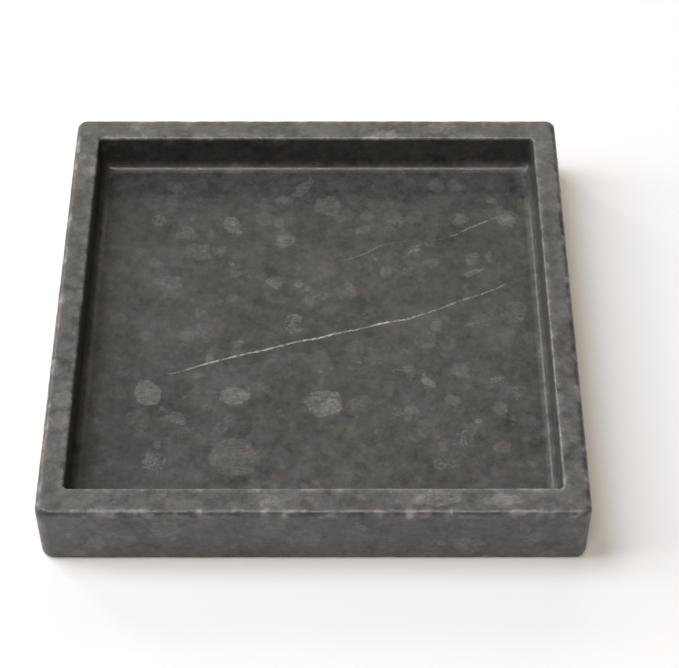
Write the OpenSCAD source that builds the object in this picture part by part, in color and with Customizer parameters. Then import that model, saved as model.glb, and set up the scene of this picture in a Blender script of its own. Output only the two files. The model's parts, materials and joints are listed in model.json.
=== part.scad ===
// Square tea tray for gongfu brewing, milled from one slab of fossil limestone, on four thin pads.
// Millimetres, +Z up, front at -Y. The origin is the middle of the tray on the table.

/* [Block] */
// Outer width of the stone block, left to right
block_w = 200; // [150:1:400]
// Outer depth of the stone block, front to back
block_d = 200; // [150:1:400]
// Thickness of the stone block
block_h = 29; // [24:0.5:60]
// Radius of the upright outer corners
corner_r = 4; // [4:0.5:20]
// Radius of the eased top outer edge
top_edge_r = 2.4; // [0.6:0.1:3.8]
// Radius of the eased bottom outer edge
bottom_edge_r = 2; // [0.6:0.1:3.8]

/* [Basin] */
// Width of the rim along the left and right sides
rim_side = 10; // [8:0.1:30]
// Width of the rim along the front and the back
rim_end = 11.6; // [8:0.1:30]
// Thickness of the stone left under the basin
floor_t = 12; // [6:0.5:14]
// Radius of the basin's upright corners
basin_corner_r = 1.6; // [0.8:0.1:12]
// Radius of the hollow between the basin's floor and its walls
floor_fillet_r = 3.5; // [1:0.1:6]
// Radius of the softened inner edge of the rim
rim_edge_r = 1.2; // [0.4:0.1:3]

/* [Pads] */
// Diameter of a pad
pad_d = 14; // [8:0.5:20]
// Thickness of a pad without its adhesive
pad_t = 1.4; // [1.1:0.1:4]
// Radius of a pad's lower edge
pad_edge_r = 0.4; // [0.1:0.1:0.8]
// Distance of a pad's centre from the two nearest sides of the block
pad_inset = 22; // [16:1:50]
// Depth of the seat milled for a pad in the underside
seat_depth = 1; // [0.5:0.1:1.2]
// Gap all round between a pad and its seat
seat_gap = 0.25; // [0.1:0.05:1]
// Thickness of the adhesive disc between a pad and its seat
adhesive_t = 0.2; // [0.1:0.05:0.5]
// How far the adhesive disc stays in from the pad's edge
adhesive_margin = 0.5; // [0.2:0.1:2]

/* [Hidden] */
// Smoothness of the rounded faces
$fn = 96;
// How far a cutting solid runs past the face that it opens
cut_over = 1;
// Height of the block's underside over the table
foot_lift = adhesive_t + pad_t - seat_depth;
// Plan of the basin at its walls, and its depth below the rim
basin_w = block_w - 2 * rim_side;
basin_d = block_d - 2 * rim_end;
basin_depth = block_h - floor_t;
// Distance of the pads' centres from the middle
pad_x = block_w / 2 - pad_inset;
pad_y = block_d / 2 - pad_inset;

stone_colour = [0.38, 0.38, 0.36];
pad_colour = [0.10, 0.10, 0.10];
adhesive_colour = [0.78, 0.77, 0.70];

// Rounded rectangle about the origin
module rounded_plan(width, depth, radius) {
    square([width - 2 * radius, depth], center = true);
    square([width, depth - 2 * radius], center = true);
    for (side = [-1, 1], end = [-1, 1])
        translate([side * (width / 2 - radius), end * (depth / 2 - radius)])
            circle(r = radius);
}

// Quarter of a disc, to the right of and above its centre
module quarter_disc(radius) {
    intersection() {
        circle(r = radius);
        square(radius);
    }
}

// Straight bar whose upright section is its child, carried along Y
module edge_bar(length) {
    rotate([90, 0, 0])
        linear_extrude(length, center = true)
            children();
}

// Solid with a rounded rectangular plan. Its child is the upright section of the edge, which
// starts over the centres of the corners. The middle is a plain block from low to high.
module edged_solid(core_w, core_d, low, high) {
    translate([-core_w / 2, -core_d / 2, low])
        cube([core_w, core_d, high - low]);
    for (turn = [0, 180])
        rotate(turn)
            translate([core_w / 2, 0, 0])
                edge_bar(core_d)
                    children();
    for (turn = [90, 270])
        rotate(turn)
            translate([core_d / 2, 0, 0])
                edge_bar(core_w)
                    children();
    for (corner = [[1, 1, 0], [-1, 1, 90], [-1, -1, 180], [1, -1, 270]])
        translate([corner[0] * core_w / 2, corner[1] * core_d / 2, 0])
            rotate(corner[2])
                rotate_extrude(angle = 90)
                    children();
}

// Upright section of the block's outer edge, eased at the top and the bottom
module block_edge() {
    square([corner_r - bottom_edge_r, block_h - top_edge_r]);
    translate([0, bottom_edge_r])
        square([corner_r - top_edge_r, block_h - bottom_edge_r]);
    translate([0, bottom_edge_r])
        square([corner_r, block_h - top_edge_r - bottom_edge_r]);
    translate([corner_r - top_edge_r, block_h - top_edge_r])
        quarter_disc(top_edge_r);
    translate([corner_r - bottom_edge_r, bottom_edge_r])
        mirror([0, 1])
            quarter_disc(bottom_edge_r);
}

// Upright section of the space over the softened inner edge of the rim
module rim_flare() {
    difference() {
        translate([0, block_h - rim_edge_r])
            square([basin_corner_r + rim_edge_r, rim_edge_r + cut_over]);
        translate([basin_corner_r + rim_edge_r, block_h - rim_edge_r])
            circle(r = rim_edge_r);
    }
}

// Trough with a rounded foot along both sides, carried along Y
module trough(width, length) {
    edge_bar(length) {
        translate([-width / 2, floor_t + floor_fillet_r])
            square([width, basin_depth - floor_fillet_r + cut_over]);
        translate([floor_fillet_r - width / 2, floor_t])
            square([width - 2 * floor_fillet_r, basin_depth]);
        for (side = [-1, 1])
            translate([side * (width / 2 - floor_fillet_r), floor_t + floor_fillet_r])
                circle(r = floor_fillet_r);
    }
}

// Space milled out of the block, open at the top
module basin_space() {
    intersection() {
        translate([0, 0, floor_t])
            linear_extrude(basin_depth + cut_over)
                rounded_plan(basin_w, basin_d, basin_corner_r);
        trough(basin_w, block_d);
        rotate(90)
            trough(basin_d, block_w);
    }
    edged_solid(
        basin_w - 2 * basin_corner_r,
        basin_d - 2 * basin_corner_r,
        block_h - rim_edge_r,
        block_h + cut_over
    )
        rim_flare();
}

// Puts its child over a pad: side is -1 left or 1 right, end is -1 front or 1 back
module at_pad(side, end) {
    translate([side * pad_x, end * pad_y, 0])
        children();
}

// Stone block with its basin, its eased edges and the four seats in its underside
module tray_body() {
    color(stone_colour)
        translate([0, 0, foot_lift])
            difference() {
                edged_solid(block_w - 2 * corner_r, block_d - 2 * corner_r, 0, block_h)
                    block_edge();
                basin_space();
                for (side = [-1, 1], end = [-1, 1])
                    at_pad(side, end)
                        translate([0, 0, -cut_over])
                            cylinder(d = pad_d + 2 * seat_gap, h = seat_depth + cut_over);
            }
}

// Silicone pad that the tray stands on, with its lower edge rounded
module pad(side, end) {
    color(pad_colour)
        at_pad(side, end)
            rotate_extrude() {
                translate([0, pad_edge_r])
                    square([pad_d / 2, pad_t - pad_edge_r]);
                square([pad_d / 2 - pad_edge_r, pad_t]);
                translate([pad_d / 2 - pad_edge_r, pad_edge_r])
                    circle(r = pad_edge_r);
            }
}

// Adhesive disc that holds a pad in its seat
module adhesive(side, end) {
    color(adhesive_colour)
        at_pad(side, end)
            translate([0, 0, pad_t])
                cylinder(d = pad_d - 2 * adhesive_margin, h = adhesive_t);
}

module pad_front_left() {
    pad(-1, -1);
}

module pad_front_right() {
    pad(1, -1);
}

module pad_back_left() {
    pad(-1, 1);
}

module pad_back_right() {
    pad(1, 1);
}

module adhesive_front_left() {
    adhesive(-1, -1);
}

module adhesive_front_right() {
    adhesive(1, -1);
}

module adhesive_back_left() {
    adhesive(-1, 1);
}

module adhesive_back_right() {
    adhesive(1, 1);
}

tray_body();
pad_front_left();
pad_front_right();
pad_back_left();
pad_back_right();
adhesive_front_left();
adhesive_front_right();
adhesive_back_left();
adhesive_back_right();
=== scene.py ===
"""A square gongfu tea tray, milled from one block of dark fossil limestone and honed by hand."""
import itertools
import json
import logging
import math
from dataclasses import dataclass, field
from enum import Enum
from typing import Any, NamedTuple

import bpy
import numpy as np
from mathutils import Matrix, Vector


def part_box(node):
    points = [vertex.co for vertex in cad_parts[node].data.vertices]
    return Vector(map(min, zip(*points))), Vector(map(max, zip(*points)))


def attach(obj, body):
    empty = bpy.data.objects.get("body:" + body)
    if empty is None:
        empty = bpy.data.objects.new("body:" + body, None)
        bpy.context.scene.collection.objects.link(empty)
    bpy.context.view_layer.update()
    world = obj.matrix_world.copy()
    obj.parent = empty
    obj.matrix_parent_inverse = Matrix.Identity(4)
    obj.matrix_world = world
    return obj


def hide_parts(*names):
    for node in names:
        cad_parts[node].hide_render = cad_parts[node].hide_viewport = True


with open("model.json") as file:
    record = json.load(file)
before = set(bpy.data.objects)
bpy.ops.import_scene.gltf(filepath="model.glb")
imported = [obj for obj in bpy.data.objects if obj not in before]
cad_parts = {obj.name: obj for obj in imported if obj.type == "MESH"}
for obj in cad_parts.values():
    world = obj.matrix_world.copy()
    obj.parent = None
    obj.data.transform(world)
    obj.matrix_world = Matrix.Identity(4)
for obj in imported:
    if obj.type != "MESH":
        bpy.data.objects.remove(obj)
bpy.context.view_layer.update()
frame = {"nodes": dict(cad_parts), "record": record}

LOG = logging.getLogger("tea_tray")
MM = 0.001
SHORTEST = 1e-20
LATTICE_ENTRIES = 8192
LATTICE_FACTORS = (73856093, 19349663, 83492791)


def linear(hex_colour: str) -> tuple[float, float, float, float]:
    """Turns an sRGB hex colour into linear light.

    A channel c becomes c / 12.92 up to 0.04045, and ((c + 0.055) / 1.055) ^ 2.4 above it.

    Args:
        hex_colour: six hex digits, with or without a leading #.

    Returns:
        Red, green, blue and an alpha of 1, each from 0 to 1.
    """
    digits = hex_colour.lstrip("#")
    channels = [int(digits[place:place + 2], 16) / 255 for place in (0, 2, 4)]
    return (*[c / 12.92 if c <= 0.04045 else ((c + 0.055) / 1.055) ** 2.4 for c in channels], 1.0)


def add_node(tree: bpy.types.NodeTree, kind: str, settings: dict[str, Any] | None = None,
             inputs: dict[str | int, Any] | None = None) -> bpy.types.Node:
    """Adds one node to a tree, with its settings and what its sockets read.

    Args:
        tree: the node tree that takes the node.
        kind: Blender's name for the kind of node.
        settings: the node's own properties.
        inputs: a value or an output socket for each input, by the input's name or place.

    Returns:
        The new node.
    """
    node = tree.nodes.new(kind)
    for name, value in (settings or {}).items():
        setattr(node, name, value)
    for name, value in (inputs or {}).items():
        if isinstance(value, bpy.types.NodeSocket):
            tree.links.new(value, node.inputs[name])
        else:
            node.inputs[name].default_value = value
    return node


def new_material(name: str) -> tuple[bpy.types.Material, bpy.types.NodeTree]:
    """Makes an empty node material.

    Args:
        name: the material's name.

    Returns:
        The material and its node tree, with nothing in it.
    """
    material = bpy.data.materials.new(name)
    material.use_nodes = True
    material.node_tree.nodes.clear()
    return material, material.node_tree


def new_mesh_object(name: str, points: np.ndarray, faces: list[np.ndarray]) -> bpy.types.Object:
    """Puts points and faces into a smooth-shaded mesh object at the origin.

    Args:
        name: the object's name.
        points: one row of x, y, z per vertex, in metres.
        faces: arrays of vertex numbers, one row per face and one array per number of corners.

    Returns:
        The object, linked to the scene.
    """
    mesh = bpy.data.meshes.new(name)
    loops = np.concatenate([block.ravel() for block in faces])
    corners = np.concatenate([np.full(len(block), block.shape[1]) for block in faces])
    mesh.vertices.add(len(points))
    mesh.vertices.foreach_set("co", points.astype(np.float32).ravel())
    mesh.loops.add(len(loops))
    mesh.loops.foreach_set("vertex_index", loops.astype(np.int32))
    mesh.polygons.add(len(corners))
    mesh.polygons.foreach_set("loop_start", (np.cumsum(corners) - corners).astype(np.int32))
    mesh.polygons.foreach_set("use_smooth", np.ones(len(corners), bool))
    mesh.update(calc_edges=True)
    mesh.validate()
    piece = bpy.data.objects.new(name, mesh)
    bpy.context.scene.collection.objects.link(piece)
    return piece


def vertex_normals(points: np.ndarray, faces: list[np.ndarray]) -> np.ndarray:
    """Outward unit normals: each vertex sums the area vectors of the faces around it.

    Args:
        points: the vertices.
        faces: arrays of vertex numbers, as new_mesh_object takes them.

    Returns:
        One unit vector per vertex.
    """
    total = np.zeros_like(points)
    for block in faces:
        corner = points[block]
        across = corner[:, -2] - corner[:, 0] if block.shape[1] == 3 else corner[:, 2] - corner[:, 0]
        up = corner[:, -1] - corner[:, 0] if block.shape[1] == 3 else corner[:, 3] - corner[:, 1]
        area = np.cross(across, up)
        for place, axis in itertools.product(range(block.shape[1]), range(3)):
            total[:, axis] += np.bincount(block[:, place], area[:, axis], len(points))
    return total / np.maximum(np.linalg.norm(total, axis=1, keepdims=True), SHORTEST)


def lattice_noise(points: np.ndarray, pitch: float, seed: int) -> np.ndarray:
    """Smooth random field: random numbers on a cubic lattice, blended by 3t^2 - 2t^3 along each axis.

    Args:
        points: where to read the field.
        pitch: the lattice spacing, in the points' unit.
        seed: picks the random numbers.

    Returns:
        One number from 0 to 1 per point.
    """
    table = np.random.default_rng(seed).random(LATTICE_ENTRIES)
    cell = points / pitch
    base = np.floor(cell).astype(np.int64)
    part = cell - base
    part = part * part * (3 - 2 * part)
    total = np.zeros(len(points))
    for corner in itertools.product((0, 1), repeat=3):
        x, y, z = ((base + corner) * LATTICE_FACTORS).T
        entry = (x ^ y ^ z) % len(table)
        total += np.where(corner, part, 1 - part).prod(axis=1) * table[entry]
    return total


def layered_noise(points: np.ndarray, layers: tuple[tuple[float, float, int], ...]) -> np.ndarray:
    """Sums lattice noise of several sizes.

    Args:
        points: where to read it.
        layers: each layer's strength, pitch and seed.

    Returns:
        One number per point.
    """
    return sum(strength * lattice_noise(points, pitch, seed) for strength, pitch, seed in layers)


def smooth_step(value: np.ndarray, low: float, high: float) -> np.ndarray:
    """Rises from 0 at low to 1 at high as 3t^2 - 2t^3."""
    part = np.clip((value - low) / (high - low), 0, 1)
    return part * part * (3 - 2 * part)


@dataclass(frozen=True)
class Viewpoint:
    """The camera, at the angle from which the tray was photographed.

    All lengths are in metres. A place in the picture is a pair of pixels, x to the right and y down.
    """

    place: tuple[float, float, float] = (0.00733, -0.50298, 0.62009)
    pitch: float = 0.8822
    yaw: float = -0.0044
    roll: float = 0.0030
    focal_px: float = 1999.5
    picture_w: int = 679
    picture_h: int = 668
    sensor_mm: float = 36.0

    def axes(self) -> np.ndarray:
        """Finds where the camera's own axes point.

        The camera looks along +Y tipped down by pitch, is turned about Z by yaw, then rolls about its view.

        Returns:
            The right, up and forward directions, as rows.
        """
        tip = np.array([[1, 0, 0], [0, math.sin(self.pitch), math.cos(self.pitch)],
                        [0, math.cos(self.pitch), -math.sin(self.pitch)]])
        turn = np.array([[math.cos(self.yaw), -math.sin(self.yaw), 0],
                         [math.sin(self.yaw), math.cos(self.yaw), 0], [0, 0, 1]])
        right, up, forward = tip @ turn.T
        side = math.cos(self.roll) * right + math.sin(self.roll) * up
        over = -math.sin(self.roll) * right + math.cos(self.roll) * up
        return np.stack([side, over, forward])

    def on_plane(self, pixels: np.ndarray, axis: int, level: float) -> np.ndarray:
        """Finds where the rays through some pixels meet a plane square to one axis.

        Args:
            pixels: rows of x and y in the picture.
            axis: 0, 1 or 2 for a plane of one x, y or z.
            level: the plane's place on that axis.

        Returns:
            Rows of x, y, z.
        """
        right, up, forward = self.axes()
        across = (pixels[:, :1] - self.picture_w / 2) / self.focal_px
        down = (pixels[:, 1:] - self.picture_h / 2) / self.focal_px
        ray = forward + across * right - down * up
        origin = np.array(self.place)
        return origin + ray * ((level - origin[axis]) / ray[:, axis])[:, None]

    def build(self) -> bpy.types.Object:
        """Makes the scene's camera.

        Returns:
            The camera object.
        """
        right, up, forward = self.axes()
        lens = bpy.data.cameras.new("camera")
        lens.sensor_fit = "HORIZONTAL"
        lens.sensor_width = self.sensor_mm
        lens.lens = self.focal_px * self.sensor_mm / self.picture_w
        camera = bpy.data.objects.new("camera", lens)
        frame_axes = Matrix([[right[row], up[row], -forward[row]] for row in range(3)]).to_4x4()
        camera.matrix_world = Matrix.Translation(self.place) @ frame_axes
        bpy.context.scene.collection.objects.link(camera)
        bpy.context.scene.camera = camera
        return camera


@dataclass(frozen=True)
class Softbox:
    """A rectangular soft light that faces the tray.

    Azimuth is the side it stands on, in degrees from +X towards +Y, and lengths are in metres.
    """

    name: str
    azimuth: float
    elevation: float
    distance: float
    width: float
    height: float
    watts: float
    colour: str

    def build(self) -> bpy.types.Object:
        """Makes the light.

        Returns:
            The light object.
        """
        around, above = math.radians(self.azimuth), math.radians(self.elevation)
        direction = Vector((math.cos(around) * math.cos(above), math.sin(around) * math.cos(above),
                            math.sin(above)))
        panel = bpy.data.lights.new(self.name, "AREA")
        panel.shape = "RECTANGLE"
        panel.size, panel.size_y = self.width, self.height
        panel.energy = self.watts
        panel.color = linear(self.colour)[:3]
        light = bpy.data.objects.new(self.name, panel)
        light.location = direction * self.distance
        light.rotation_euler = direction.to_track_quat("Z", "Y").to_euler()
        light.visible_camera = False
        bpy.context.scene.collection.objects.link(light)
        return light


@dataclass
class Studio:
    """The pale floor and the soft light around the tray."""

    floor_half: float = 12.0
    floor_colour: str = "#e8e9ea"
    floor_roughness: float = 0.9
    floor_sheen: float = 0.2
    air_colour: str = "#fff4e8"
    air_strength: float = 0.02
    backdrop_colour: str = "#fbf9f7"
    softboxes: tuple[Softbox, ...] = (
        Softbox("left_window", 180, 18, 4.7, 2.9, 1.6, 80.0, "#fff3df"),
        Softbox("left_sky", 178, 42, 4.7, 2.5, 2.2, 90.0, "#eef4ff"),
        Softbox("left_back", 138, 25, 4.7, 0.7, 1.5, 38.0, "#fff6ec"),
        Softbox("left_high", 165, 66, 4.7, 2.2, 1.8, 103.0, "#eff5ff"),
        Softbox("back_middle", 90, 38, 5.0, 4.0, 1.6, 31.0, "#fffbdb"),
        Softbox("back_low", 90, 16, 5.0, 4.7, 1.6, 49.0, "#fff7f4"),
        Softbox("overhead_front", 270, 68, 4.7, 2.2, 1.4, 107.0, "#fff0e2"),
    )

    def floor(self) -> bpy.types.Object:
        """Lays the pale floor that the tray stands on.

        Returns:
            The floor object.
        """
        half = self.floor_half
        points = np.array([[-half, -half, 0], [half, -half, 0], [half, half, 0], [-half, half, 0]])
        piece = new_mesh_object("studio_floor", points, [np.array([[0, 1, 2, 3]])])
        material, tree = new_material("matt_white_floor")
        shader = add_node(tree, "ShaderNodeBsdfPrincipled", None,
                          {"Base Color": linear(self.floor_colour), "Roughness": self.floor_roughness,
                           "Specular IOR Level": self.floor_sheen})
        add_node(tree, "ShaderNodeOutputMaterial", None, {"Surface": shader.outputs[0]})
        piece.data.materials.append(material)
        return piece

    def air(self) -> bpy.types.World:
        """Lights the room evenly and shows a plain pale backdrop.

        Returns:
            The scene's world.
        """
        world = bpy.data.worlds.new("studio_air")
        world.use_nodes = True
        tree = world.node_tree
        tree.nodes.clear()
        path = add_node(tree, "ShaderNodeLightPath")
        light = add_node(tree, "ShaderNodeBackground", None,
                         {"Color": linear(self.air_colour), "Strength": self.air_strength})
        backdrop = add_node(tree, "ShaderNodeBackground", None,
                            {"Color": linear(self.backdrop_colour), "Strength": 1.0})
        seen = add_node(tree, "ShaderNodeMixShader", None,
                        {0: path.outputs["Is Camera Ray"], 1: light.outputs[0], 2: backdrop.outputs[0]})
        add_node(tree, "ShaderNodeOutputWorld", None, {"Surface": seen.outputs[0]})
        bpy.context.scene.world = world
        return world

    def build(self) -> None:
        """Sets the floor, the light and plain colour handling."""
        self.floor()
        self.air()
        for softbox in self.softboxes:
            softbox.build()
        bpy.context.scene.view_settings.view_transform = "Standard"


class Face(Enum):
    """The flat face of the stone that a fossil is seen on."""

    FLOOR = "basin floor"
    RIM = "rim top"
    FRONT = "front side"
    BACK_WALL = "back wall of the basin"


class Grain(Enum):
    """How much of a fossil's inside crumbles into the stone around it."""

    SMOOTH = 0.28
    STREAKY = 0.55
    CRUMBLY = 0.9


@dataclass(frozen=True)
class Fossil:
    """One pale shell or crinoid section, placed by where it lies in the photograph.

    px and py are its centre in the picture and across and down its half sizes there, in pixels. turn tips it
    anticlockwise, in degrees. lift is how much paler than the stone it is. A soft one has no clear edge.
    """

    px: float
    py: float
    across: float
    down: float
    lift: float = 0.25
    grain: Grain = Grain.SMOOTH
    turn: float = 0.0
    soft: bool = False
    face: Face = Face.FLOOR


@dataclass(frozen=True)
class VeinPoint:
    """A place that a vein runs through, in the picture's pixels, and how clear the vein is there."""

    px: float
    py: float
    strength: float


@dataclass(frozen=True)
class Vein:
    """A calcite vein on one face of the stone. width is its own width in millimetres."""

    width: float
    face: Face
    course: tuple[VeinPoint, ...]


@dataclass(frozen=True)
class FossilBed:
    """The fossils and veins that the honed faces cut through, read from the photograph.

    thickness is a fossil's depth into the stone as a share of its size. A soft fossil fades out over
    soft_fade of its size, ending at soft_reach. outside_mm and far_mm stand for "nowhere near one".
    """

    thickness: float = 0.8
    soft_reach: float = 1.15
    soft_fade: float = 0.9
    outside_mm: float = -4.0
    far_mm: float = 6.0
    fossils: tuple[Fossil, ...] = (
        Fossil(px=148, py=393, across=13.5, down=13, lift=0.5),
        Fossil(px=235, py=396, across=15.5, down=9, lift=0.48),
        Fossil(px=325, py=403, across=18, down=13.5, lift=0.52, grain=Grain.STREAKY),
        Fossil(px=176, py=418, across=10, down=5.5, lift=0.36, turn=-28),
        Fossil(px=137, py=420, across=12, down=11, lift=0.16, grain=Grain.STREAKY),
        Fossil(px=154, py=461, across=12, down=11, lift=0.38, grain=Grain.CRUMBLY),
        Fossil(px=234, py=457, across=24, down=20, lift=0.24, grain=Grain.STREAKY),
        Fossil(px=109, py=464, across=13, down=12, lift=0.12, soft=True),
        Fossil(px=226, py=424, across=13, down=6, lift=0.2, grain=Grain.CRUMBLY, turn=38),
        Fossil(px=184, py=399, across=3.5, down=2.6, lift=0.55),
        Fossil(px=161, py=409, across=3, down=2.6, lift=0.45),
        Fossil(px=197, py=376, across=6, down=3.5, lift=0.32, turn=30),
        Fossil(px=209, py=356, across=5.5, down=5, lift=0.34),
        Fossil(px=239, py=344, across=5, down=3.5, lift=0.34),
        Fossil(px=160, py=326, across=34, down=22, lift=0.1, soft=True),
        Fossil(px=210, py=329, across=15, down=13, lift=0.18, grain=Grain.STREAKY),
        Fossil(px=200, py=314, across=9, down=6, lift=0.26, grain=Grain.CRUMBLY),
        Fossil(px=293, py=324, across=8, down=10, lift=0.42, grain=Grain.CRUMBLY),
        Fossil(px=298, py=316, across=5, down=4, lift=0.45),
        Fossil(px=361, py=404, across=11, down=8, lift=0.14, grain=Grain.STREAKY),
        Fossil(px=407, py=414, across=13, down=9, lift=0.22, grain=Grain.CRUMBLY),
        Fossil(px=351, py=473, across=13, down=10, lift=0.18, soft=True),
        Fossil(px=299, py=436, across=20, down=14, lift=0.14, soft=True),
        Fossil(px=379, py=431, across=5, down=4, lift=0.3),
        Fossil(px=416, py=436, across=8, down=7, lift=0.18, grain=Grain.STREAKY),
        Fossil(px=503, py=447, across=9, down=8, lift=0.3),
        Fossil(px=464, py=439, across=10, down=8, lift=0.34, grain=Grain.CRUMBLY),
        Fossil(px=444, py=464, across=13, down=6, lift=0.3, grain=Grain.CRUMBLY),
        Fossil(px=501, py=407, across=8, down=7.5, lift=0.34),
        Fossil(px=479, py=420, across=4.5, down=3.5, lift=0.35),
        Fossil(px=513, py=417, across=4, down=3, lift=0.3),
        Fossil(px=519, py=394, across=8, down=7, lift=0.3, grain=Grain.CRUMBLY),
        Fossil(px=496, py=381, across=10, down=4.5, lift=0.34, grain=Grain.CRUMBLY, turn=25),
        Fossil(px=453, py=400, across=7, down=6, lift=0.26),
        Fossil(px=427, py=381, across=8, down=3.6, lift=0.55, turn=-38),
        Fossil(px=461, py=371, across=9, down=7, lift=0.2),
        Fossil(px=409, py=370, across=5, down=8, lift=0.3, grain=Grain.STREAKY, turn=15),
        Fossil(px=426, py=340, across=12, down=9, lift=0.22, grain=Grain.STREAKY),
        Fossil(px=436, py=326, across=6, down=5, lift=0.3),
        Fossil(px=447, py=343, across=9, down=7, lift=0.18),
        Fossil(px=481, py=321, across=12, down=7, lift=0.24, grain=Grain.STREAKY),
        Fossil(px=487, py=324, across=4, down=3, lift=0.45),
        Fossil(px=513, py=312, across=14, down=12, lift=0.26, grain=Grain.STREAKY),
        Fossil(px=324, py=370, across=6, down=5, lift=0.28, grain=Grain.CRUMBLY),
        Fossil(px=361, py=362, across=2.6, down=2.2, lift=0.6),
        Fossil(px=394, py=371, across=3.6, down=2.4, lift=0.5),
        Fossil(px=232, py=224, across=9, down=8, lift=0.42),
        Fossil(px=237, py=231, across=5, down=4, lift=0.45),
        Fossil(px=185, py=232, across=8, down=7, lift=0.28),
        Fossil(px=159, py=219, across=8, down=7, lift=0.3, grain=Grain.CRUMBLY),
        Fossil(px=199, py=252, across=14, down=8.5, lift=0.24, grain=Grain.STREAKY),
        Fossil(px=230, py=264, across=4.5, down=4, lift=0.45, grain=Grain.CRUMBLY),
        Fossil(px=221, py=251, across=5, down=4, lift=0.3),
        Fossil(px=172, py=286, across=11, down=13, lift=0.26, grain=Grain.STREAKY),
        Fossil(px=276, py=282, across=9, down=7, lift=0.38),
        Fossil(px=300, py=284, across=5, down=4, lift=0.38),
        Fossil(px=308, py=288, across=4, down=3.4, lift=0.3),
        Fossil(px=284, py=241, across=11, down=7.5, lift=0.34, turn=10),
        Fossil(px=279, py=222, across=6.5, down=5, lift=0.28),
        Fossil(px=302, py=190, across=10, down=5, lift=0.36, turn=38),
        Fossil(px=311, py=182, across=5, down=3.6, lift=0.28, turn=38),
        Fossil(px=246, py=192, across=13, down=9, lift=0.16, soft=True),
        Fossil(px=268, py=205, across=10, down=8, lift=0.16, grain=Grain.STREAKY),
        Fossil(px=181, py=189, across=10, down=7, lift=0.16, grain=Grain.STREAKY),
        Fossil(px=236, py=274, across=5, down=4, lift=0.24),
        Fossil(px=232, py=299, across=6.5, down=5, lift=0.2),
        Fossil(px=155, py=264, across=5, down=5, lift=0.2),
        Fossil(px=328, py=206, across=13, down=10, lift=0.36, grain=Grain.STREAKY),
        Fossil(px=366, py=215, across=8, down=5.5, lift=0.28),
        Fossil(px=396, py=224, across=12, down=5, lift=0.24, grain=Grain.CRUMBLY, turn=20),
        Fossil(px=416, py=219, across=12, down=8, lift=0.12, soft=True),
        Fossil(px=362, py=229, across=11, down=4, lift=0.22, grain=Grain.STREAKY, turn=15),
        Fossil(px=374, py=258, across=3, down=2.5, lift=0.5),
        Fossil(px=415, py=249, across=7, down=3.4, lift=0.45, grain=Grain.CRUMBLY, turn=25),
        Fossil(px=426, py=244, across=2.8, down=2.4, lift=0.45),
        Fossil(px=462, py=219, across=7.5, down=5, lift=0.3),
        Fossil(px=507, py=221, across=8.5, down=9, lift=0.3, grain=Grain.STREAKY),
        Fossil(px=472, py=259, across=8, down=6.5, lift=0.28),
        Fossil(px=488, py=255, across=4, down=3, lift=0.3),
        Fossil(px=475, py=272, across=9, down=2.8, lift=0.4, turn=20),
        Fossil(px=492, py=262, across=4, down=3, lift=0.3),
        Fossil(px=386, py=271, across=6.5, down=5, lift=0.26),
        Fossil(px=411, py=271, across=8, down=5, lift=0.28, grain=Grain.CRUMBLY),
        Fossil(px=429, py=262, across=9, down=5, lift=0.26, grain=Grain.STREAKY),
        Fossil(px=346, py=292, across=12, down=8, lift=0.28, grain=Grain.STREAKY),
        Fossil(px=319, py=298, across=8, down=4, lift=0.3, grain=Grain.CRUMBLY, turn=20),
        Fossil(px=381, py=284, across=14, down=9, lift=0.12, soft=True),
        Fossil(px=354, py=315, across=9, down=3, lift=0.28, grain=Grain.CRUMBLY),
        Fossil(px=415, py=156, across=9, down=8, lift=0.4, soft=True, face=Face.BACK_WALL),
        Fossil(px=388, py=134, across=9, down=4.5, lift=0.36, face=Face.RIM),
        Fossil(px=440, py=129, across=20, down=5, lift=0.26, grain=Grain.STREAKY, face=Face.RIM),
        Fossil(px=268, py=500, across=15, down=6, lift=0.24, grain=Grain.STREAKY, face=Face.RIM),
        Fossil(px=440, py=498, across=24, down=8, lift=0.22, grain=Grain.STREAKY, face=Face.RIM),
        Fossil(px=500, py=499, across=20, down=6, lift=0.2, face=Face.RIM),
        Fossil(px=145, py=129, across=12, down=4, lift=0.2, grain=Grain.CRUMBLY, face=Face.RIM),
        Fossil(px=165, py=529, across=15, down=8, lift=0.2, face=Face.FRONT),
        Fossil(px=96, py=543, across=10, down=8, lift=0.2, face=Face.FRONT),
        Fossil(px=270, py=526, across=16, down=10, lift=0.16, grain=Grain.STREAKY, face=Face.FRONT),
        Fossil(px=303, py=540, across=16, down=10, lift=0.2, grain=Grain.STREAKY, face=Face.FRONT),
        Fossil(px=468, py=546, across=14, down=8, lift=0.24, grain=Grain.STREAKY, face=Face.FRONT),
        Fossil(px=363, py=528, across=7, down=3.5, lift=0.24, face=Face.FRONT),
        Fossil(px=533, py=540, across=9, down=6, lift=0.2, grain=Grain.CRUMBLY, face=Face.FRONT),
    )
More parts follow.
